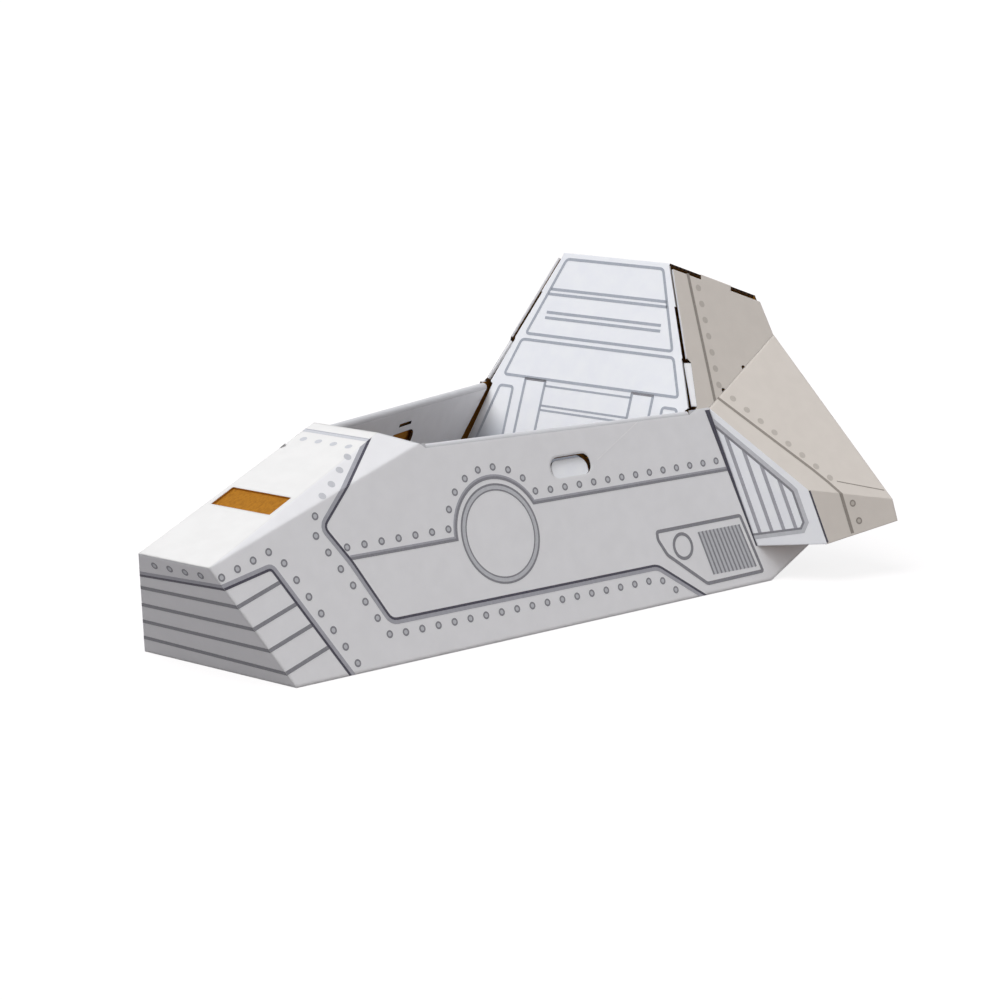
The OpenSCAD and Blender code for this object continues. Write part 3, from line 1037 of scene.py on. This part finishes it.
@dataclass
class WallPrint(NosePrint):
    """Line print of a hull wall and its tower side, which carries on the lines of the nose, with a
    painted shadow by the pod and a painted highlight on a crease.
    """

    floor_v: float = 0.4
    band_bend: Point = (0, 177)
    band_foot: Point = (99, 3)
    band_pens: tuple[Pen, ...] = (Pen(6.6, Ink.BAND, 4.8), Pen(4, Ink.DARK))
    stripe_rise: float = 0.29
    stripe_pen: Pen = Pen(6, Ink.MID)
    bevel_bend: float = 288.0
    bevel_rivets: Path = ((327, 41), (298, 29), (268, 16), (240, 7))
    main_corners: Path = ((110, 224), (147, 167.5), (198, 68.5), (762, 66), (846, 7))
    main_pens: tuple[Pen, ...] = (Pen(6.6, Ink.BAND, -4.8), Pen(4, Ink.DARK))
    corner_reach: float = 11.0
    window: Point = (445, 165.5)
    window_rings: tuple[tuple[float, Pen], ...] = (
        (73.3, Pen(9.6, Ink.PALE)), (78.3, Pen(3.4, Ink.MID)), (69.5, Pen(2.4, Ink.MID)))
    joint_ends: Path = ((146, 170), (985, 200))
    joint_arc: Arc = Arc(89, 178, 25, 26)
    joint_pens: tuple[Pen, ...] = (Pen(3.4, Ink.BAND, 3.6), Pen(4.4, Ink.MID))
    vent_outline: Path = (
        (777, 119.6), (976.5, 119.4), (1002, 19.2), (866.5, 18.5), (789.6, 78.8), (775.5, 106.6))
    vent_corner: float = 4.0
    port: Point = (829, 88)
    port_r: float = 20.6
    port_pen: Pen = Pen(5.6, Ink.MID)
    grille_tops: Row = Row((871, 106), (969, 105), 12)
    grille_feet: Row = Row((886, 31), (988, 29), 12)
    grille_pen: Pen = Pen(3.8, Ink.MID)
    rivet_rows: tuple[Row, ...] = (
        Row((-88, 178), (2, 202), 4), Row((25, 182), (118, 16), 7), Row((92, 213), (188, 48), 7),
        Row((219, 46), (735, 43), 17), Row((144, 188), (343, 187), 7),
        Row((567, 220), (949, 218), 13))
    rivet_arc: Arc = Arc(106, 151, 32, 8)
    lone_rivets: Path = ((98, 242), (766, 39), (791, 20))
    tower_joint: Path = ((1035, 240), (999, 6.5))
    tower_pen: Pen = Pen(6.4, Ink.WARM)
    tower_rivets: Row = Row((1049, 212), (1021, 36), 7)
    # Painted shadow: a dark patch on the wall along the pod's front edge, where the pod meets the
    # wall.
    pod_shade: Path = ((998.7, 63), (1001.7, 63), (960, 306), (949, 306))
    # A real crease where the wall buckled, drawn as a white line: painted highlight along it.
    crease: Path = ((789, 305), (681, 254))
    crease_highlight_pen: Pen = Pen(1.8, Ink.CREASE)

    @property
    def wall(self) -> Face:
        """Outer face of the wall."""
        return self.ship.wall.for_side(self.side)

    @property
    def nose_edge(self) -> Cut:
        """Fold between the nose and the wall, on the wall."""
        return (self.corner(0), self.corner(self.nose_band[1]))

    @property
    def floor_edge(self) -> Cut:
        """Foot of the wall, on the wall."""
        return ((0.0, self.floor_v), (1.0, self.floor_v))

    def corner(self, v: float) -> Point:
        """Point of the wall where a line at a height v of the nose turns the corner."""
        return self.wall.on(self.ship.nose.point(self.half_w(v), v))

    def draw(self) -> None:
        """Prints one hull wall with its bevel and tower side."""
        self.front_band()
        self.main_joint()
        self.window_and_joint()
        self.vent()
        for places in (*self.rivet_rows, self.rivet_arc.places(self.window), self.lone_rivets):
            self.rivets(self.wall, places)
        # Painted shadow where the pod's front edge meets the wall, in the dark ink.
        self.patch(self.wall, self.pod_shade, Ink.DARK)
        tower = self.ship.tower.for_side(self.side)
        self.line(tower, self.tower_joint, self.tower_pen)
        self.rivets(tower, self.tower_rivets, Ink.FAINT)
        if self.side is Side.LEFT:
            # Painted highlight along the crease in the near wall.
            self.line(self.wall, self.crease, self.crease_highlight_pen)

    def front_band(self) -> None:
        """Prints the band behind the nose and the stripes that end at it."""
        path = [self.corner(self.nose_band[1]), self.band_bend, self.band_foot]
        band = fillet(path, self.corner_reach / 2)
        self.line(self.wall, band, *self.band_pens, cuts=(self.nose_edge, self.floor_edge))
        (bend_u, bend_v), (foot_u, foot_v) = self.band_bend, self.band_foot
        lean = (foot_u - bend_u) / (foot_v - bend_v)
        for _, height in self.nose_stripes:
            u, v = self.corner(height)
            reach = (bend_u + lean * (v - bend_v) - u) / (1 - lean * self.stripe_rise)
            stripe = [(u, v), (u + reach, v + self.stripe_rise * reach)]
            self.line(self.wall, stripe, self.stripe_pen, cuts=(self.nose_edge,))

    def main_joint(self) -> None:
        """Prints the long panel joint from the hood round the wall to the floor."""
        bevel = self.ship.bevel.for_side(self.side)
        start, hood_end = (0.0, 0.0), bevel.on(Vector(self.ship.sizes.hood_rear))
        path = [bevel.on(self.ship.hood.point(*self.hood_joint)), (self.bevel_bend, 0.0)]
        self.line(bevel, path, *self.main_pens, cuts=((start, hood_end), (start, (1.0, 0.0))))
        self.rivets(bevel, self.bevel_rivets, Ink.PALE)
        bend = self.wall.on(bevel.point(self.bevel_bend, 0))
        fold = (self.wall.on(bevel.origin), bend)
        path = fillet([bend, *self.main_corners], self.corner_reach)
        self.line(self.wall, path, *self.main_pens, cuts=(fold, self.floor_edge))

    def window_and_joint(self) -> None:
        """Prints the round window and the joint that passes over it."""
        for radius, pen in self.window_rings:
            self.line(self.wall, circle(self.window, radius, self.ring_steps), pen, closed=True)
        start, end = self.joint_ends
        joint = [start, *self.joint_arc.places(self.window), end]
        self.line(self.wall, joint, *self.joint_pens)

    def vent(self) -> None:
        """Prints the vent near the tail: outline, port and grille."""
        outline = fillet(self.vent_outline, self.vent_corner, True)
        self.line(self.wall, outline, self.stripe_pen, closed=True)
        port = circle(self.port, self.port_r, self.ring_steps)
        self.line(self.wall, port, self.port_pen, closed=True)
        tops, feet = list(self.grille_tops), list(self.grille_feet)
        self.patch(self.wall, (feet[0], feet[-1], tops[-1], tops[0]), Ink.PALE)
        for slat in zip(tops, feet):
            self.line(self.wall, slat, self.grille_pen)


@dataclass
class BackrestPrint(InkSheet):
    """Line print of the backrest: two padded frames and the framing under them, with painted shade
    at its foot and its lower corners.
    """

    slot: str = "canopy_board"
    frame_pen: Pen = Pen(5, Ink.BLUE)
    frames: tuple[Path, ...] = (((-157, 403), (156, 403), (102, 543.5), (-103, 543.5)),
                                ((-185, 325.5), (187, 325.5), (161, 392), (-163, 392)))
    frame_corner: float = 7.0
    bars: Path = ((124, 487), (127, 478), (122, 445), (123, 435))
    rungs: Path = ((92.8, 314), (92.8, 278.5), (92.8, 270.5))
    rung_pen: Pen = Pen(3.6, Ink.BLUE)
    columns: Point = (92.8, 136.4)
    columns_v: Point = (322, 60)
    cap: Path = ((90.8, 322.5), (138.4, 322.5))
    cap_pen: Pen = Pen(4.6, Ink.MID)
    slot_path: Path = ((160, 120), (160, 305), (189, 305), (239, 120))
    slot_corner: float = 6.0
    # Lower outer corners of the backrest by the cockpit walls: a printed vignette that also paints
    # the shade falling there, darker towards the bottom.
    shade: Path = ((160, 40), (278, 40), (216, 262), (160, 262))
    # Painted shadow over the backrest's foot, in the seat well between the walls: darkest at the
    # bottom, fading out up the sheet.
    foot: Path = ((-158, 40), (158, 40), (158, 222), (-158, 222))

    def draw(self) -> None:
        """Prints the frames and rungs and paints the shade at the foot, then prints the framing
        under them and paints the corner shade on each side.
        """
        back = self.ship.back
        for outline in self.frames:
            path = fillet(outline, self.frame_corner, True)
            self.line(back, path, self.frame_pen, closed=True)
        for pen, places in ((self.frame_pen, self.bars), (self.rung_pen, self.rungs)):
            for half, v in places:
                self.line(back, [(-half, v), (half, v)], pen)
        # Painted shadow at the backrest's foot.
        self.patch(back, self.foot, Ink.FOOT)
        for way in (-1, 1):
            for x in self.columns:
                self.line(back, [(way * x, v) for v in self.columns_v], self.frame_pen)
            self.line(back, [(way * x, v) for x, v in self.cap], self.cap_pen)
            slot_path = [(way * x, v) for x, v in self.slot_path]
            self.line(back, fillet(slot_path, self.slot_corner), self.frame_pen)
            # Lower outer corner: printed vignette together with painted shade of the cockpit wall.
            self.patch(back, [(way * x, v) for x, v in self.shade[::way]], Ink.SHADE_VIGNETTE)


@dataclass
class PodPrint(InkSheet):
    """Line print of a wing pod: louvred intake, top joint and end joint, with painted shade along a
    crease and along the fold of its end.
    """

    slot: str = "pod_board"
    intake: Path = ((230.4, 0.4), (246.5, 80), (238, 87.5), (183, 87.5), (175, 83.5), (35, 0.4))
    intake_pens: tuple[Pen, ...] = (Pen(7, Ink.PALE, -5), Pen(3.8, Ink.MID))
    louvres_v: tuple[float, ...] = (12, 32, 52, 72)
    louvre_pen: Pen = Pen(5.8, Ink.BAND)
    top_joint: Path = ((2, 32), (205, 44.5), (240, 45), (268, 43.6))
    top_pen: Pen = Pen(5.6, Ink.WARM)
    top_rivets: Row = Row((23, 54), (237, 56), 8)
    # Painted shade: a thin dark line along a crease in the pod top's tail.
    crease_shade: Path = ((250, 60), (325, 117))
    crease_shade_pen: Pen = Pen(1.8, Ink.WARM)
    end_joint: Path = ((26, 59), (98, 55))
    end_pen: Pen = Pen(6.4, Ink.WARM)
    end_rivets: Path = ((50.5, 75), (82.5, 75.5))
    # Painted shade: a thin dark line along the fold between the pod's front and its end.
    fold_shadow_line: Path = ((2, 2), (96, 2))
    fold_shadow_pen: Pen = Pen(3.6, Ink.DARK)

    def draw(self) -> None:
        """Prints one pod."""
        self.louvres()
        faces = (self.ship.pod_top, self.ship.pod_end)
        top, end = (face.for_side(self.side) for face in faces)
        top_fold, end_fold = (tuple(face.on(p) for p in self.ship.pod_fold) for face in faces)
        self.line(top, self.top_joint, self.top_pen, cuts=(None, top_fold))
        self.rivets(top, self.top_rivets, Ink.FAINT)
        # Painted shade along the crease in the pod top.
        self.line(top, self.crease_shade, self.crease_shade_pen)
        self.line(end, self.end_joint, self.end_pen, cuts=(end_fold,))
        self.rivets(end, self.end_rivets, Ink.WARM)
        # Painted shade along the fold between the pod's front and its end.
        self.line(end, self.fold_shadow_line, self.fold_shadow_pen)

    def louvres(self) -> None:
        """Prints the intake on the front of the pod."""
        front = self.ship.pod_front.for_side(self.side)
        (low_u, low_v), (foot_u, foot_v), *_, (knee_u, knee_v), (high_u, high_v) = self.intake
        for v in self.louvres_v:
            high = high_u + (knee_u - high_u) * (v - high_v) / (knee_v - high_v)
            low = low_u + (foot_u - low_u) * (v - low_v) / (foot_v - low_v)
            self.line(front, [(high, v), (low, v)], self.louvre_pen)
        fold = ((0.0, low_v), (1.0, low_v))
        self.line(front, self.intake, *self.intake_pens, cuts=(fold, fold))


@dataclass(frozen=True)
class Lamp:
    """Broad lamp, in a direction from the ship, whose width in degrees softens the shadows."""

    name: str
    toward: Place
    strength: float
    tint: str
    width: float

    def build(self) -> None:
        """Hangs the lamp."""
        data = bpy.data.lights.new(self.name, "SUN")
        data.energy = self.strength
        data.color = linear(self.tint)[:3]
        data.angle = math.radians(self.width)
        turn = Vector(self.toward).to_track_quat("Z", "Y")
        place_object(self.name, data).rotation_euler = turn.to_euler()


@dataclass
class Studio:
    """Pale floor, soft light and the camera."""

    lens_mm: float = 93.68
    sensor_mm: float = 36.0
    eye: Place = (2.5960, -3.2570, 1.0748)
    azimuth: float = 37.39
    elevation: float = 12.28
    roll: float = 0.63
    sight: float = 480.0
    floor_half: float = 120.0
    floor_drop: float = 0.0005
    sky: float = 0.42
    sky_tint: str = "#F4F7FF"
    lamps: tuple[Lamp, ...] = (
        Lamp("key_softbox", (-0.20, -0.45, 0.87), 2.06, "#FBFBFD", 40.0),
        Lamp("fill_softbox", (0.85, -0.30, 0.43), 0.46, "#FFF6EC", 60.0),
    )

    def camera(self) -> None:
        """Sets the camera at the photograph's angle."""
        az, el, roll = (math.radians(a) for a in (self.azimuth, self.elevation, self.roll))
        turn = Matrix.Rotation(az, 4, "Z") @ Matrix.Rotation(math.pi / 2 - el, 4, "X")
        data = bpy.data.cameras.new("studio_camera")
        data.lens = self.lens_mm
        data.sensor_width = self.sensor_mm
        data.clip_end = self.sight
        eye = place_object("studio_camera", data)
        eye.matrix_world = Matrix.Translation(self.eye) @ turn @ Matrix.Rotation(roll, 4, "Z")
        bpy.context.scene.camera = eye

    def world(self) -> None:
        """Soft light from all round, seen as white behind the ship."""
        world = bpy.data.worlds.new("studio")
        bpy.context.scene.world = world
        world.use_nodes = True
        tree = world.node_tree
        tree.nodes.clear()
        light = {"Color": linear(self.sky_tint), "Strength": self.sky}
        soft = add_node(tree, "Background", light).outputs[0]
        white = add_node(tree, "Background", {"Color": WHITE_LIGHT, "Strength": 1.0}).outputs[0]
        add_node(tree, "OutputWorld", None, {"Surface": mix_seen(tree, soft, white)})

    def floor(self) -> None:
        """Pale matt floor that keeps the ship's shadow."""
        h = self.floor_half
        mesh = bpy.data.meshes.new("studio_floor")
        mesh.from_pydata([(-h, -h, 0), (h, -h, 0), (h, h, 0), (-h, h, 0)], [], [(0, 1, 2, 3)])
        mesh.materials.append(FloorPaint().make())
        floor = place_object("studio_floor", mesh)
        floor.location.z = -self.floor_drop
        floor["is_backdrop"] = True

    def build(self) -> None:
        """Builds the studio."""
        bpy.context.scene.view_settings.view_transform = "Standard"
        self.camera()
        self.world()
        self.floor()
        for lamp in self.lamps:
            lamp.build()


# In the order of the Liner values.
LINERS: tuple[Finish, ...] = (
    CoatedLiner("white_lined_board_coated_neutral", "#F4F4F5", "#F1F1F2", fold_r_mm=8.0),
    # Darker, warmer copy of the white liner for the hood: painted shade that tones down the
    # brightly lit hood.
    CoatedLiner("white_lined_board_hood_painted_shade", "#ECEBE8", "#E9E8E5", fold_r_mm=8.0),
    # Brighter, bluish copy of the white liner for the backrest, the pod fronts and the hand flap:
    # painted cool light on the faces that look forward.
    CoatedLiner("white_lined_board_painted_cool_light", "#FBFDFF", "#F7F9FD"),
    # Darker, warm copy of the white liner for the tower sides and the pod tops and ends: painted
    # warm shade, as these faces get less and warmer light.
    CoatedLiner("white_lined_board_painted_warm_shade", "#DDD6CD", "#DAD3CA"),
    # Darker copy of the white liner for the inner flaps that face the cockpit: painted shade inside
    # the cockpit.
    CoatedLiner("white_lined_board_flap_painted_shade", "#E8E8EA", "#E4E4E6"),
    # Darker copy of the white liner for the rolled hem along the cockpit's rim: painted shade that
    # tones down the highlight on its upper side.
    CoatedLiner("white_lined_board_hem_painted_shade", "#D4D4D6", "#D0D0D2"),
    KraftLiner(),
    FlutedEdge(),
)

# In the order of the Ink values.
INKS: tuple[Finish, ...] = (
    # Dark ink of the print, also used for the painted shadow where the pods meet the walls and
    # along the pods' end folds.
    OffsetInk("offset_ink_dark_slate_and_painted_shadow", "#45434F", "#54525E"),
    OffsetInk("offset_ink_grey", "#88888D", "#949499"),
    OffsetInk("offset_ink_mid_grey", "#A9A9B0", "#B3B3BA"),
    OffsetInk("offset_ink_pale_grey", "#C6C7CB", "#CFD0D4"),
    OffsetInk("offset_ink_blue_grey", "#A9AEB8", "#B5BAC2"),
    # Warm copies of the grey and pale grey inks for the tower sides and pods: painted warm light,
    # as on their liner; the first also draws the painted crease shade on the pod tops.
    OffsetInk("offset_ink_warm_grey", "#928B83", "#9E978F"),
    OffsetInk("offset_ink_faint_grey_painted_warm_light", "#BFB8AF", "#C7C0B7"),
    # White film of painted highlight along a crease in the wall.
    OffsetInk("painted_crease_highlight_white", "#FFFFFF", "#F6F6F6"),
    # Printed vignette and painted shade at the backrest's lower outer corners.
    ShadeVignette("printed_vignette_and_painted_shade_blue_grey", "#BFC5CE", "#FBFDFF", 189.0, 247.0),
    # Painted shadow at the backrest's foot, fading out up the sheet.
    ShadeVignette("painted_shade_backrest_foot_slate", "#8A8E96", "#FBFDFF", 188.5, 209.0),
)


def dress_sheets(ship: ShipFaces, liners: Sequence[Material]) -> None:
    """Gives the four folded sheets their liners.

    Args:
        ship: Outer faces of the sheets.
        liners: Materials in the order of the Liner values.
    """
    # The tower sides and the pod tops and ends take the warm shaded copy of the liner (painted warm
    # shade); the hand flap, backrest and pod fronts take the lit copy (painted cool light).
    sides = ((ship.wall, Liner.WHITE), (ship.bevel, Liner.WHITE), (ship.tab, Liner.WHITE),
             (ship.hand_flap, Liner.BRIGHT), (ship.tower, Liner.WARM_SHADE))
    # The hood takes a darker, warmer copy of the liner: painted shade.
    hull = [(ship.hood, Liner.HOOD), (ship.nose, Liner.WHITE)]
    hull += [(face, liner) for left, liner in sides for face in left.both]
    HullSheet("hull", ship, hull, liners).dress()
    canopy = ((ship.back, Liner.BRIGHT), (ship.roof, Liner.WHITE), (ship.rear, Liner.WHITE))
    CanopySheet("canopy", ship, canopy, liners).dress()
    pod = ((ship.pod_front, Liner.BRIGHT), (ship.pod_top, Liner.WARM_SHADE), (ship.pod_end, Liner.WARM_SHADE))
    for side in Side:
        dressed = [(face.for_side(side), liner) for face, liner in pod]
        BoardSheet(f"pod_{side.name.lower()}", ship, dressed, liners).dress()


def write_sizes() -> None:
    """Works out the CAD box and the dressed box as plain lists; nothing is written."""
    boxes = {"cad": CAD_BOX, "visual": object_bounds()}
    plain = {name: [[float(c) for c in corner] for corner in box] for name, box in boxes.items()}


def main() -> None:
    """Dresses the sheets, lays the print and builds the studio."""
    logging.basicConfig(level=logging.INFO, format="%(message)s")
    ship = ShipFaces(ShipSizes())
    inks = [ink.make() for ink in INKS]
    dress_sheets(ship, [liner.make() for liner in LINERS])
    NosePrint("nose_print", ship, inks).build()
    for side in Side:
        label = side.name.lower()
        WallPrint(f"hull_print_and_painted_light_{label}", ship, inks, side).build()
        PodPrint(f"pod_print_and_painted_light_{label}", ship, inks, side).build()
    BackrestPrint("backrest_print_and_painted_shade", ship, inks).build()
    Studio().build()
    write_sizes()


if __name__ == "__main__":
    main()
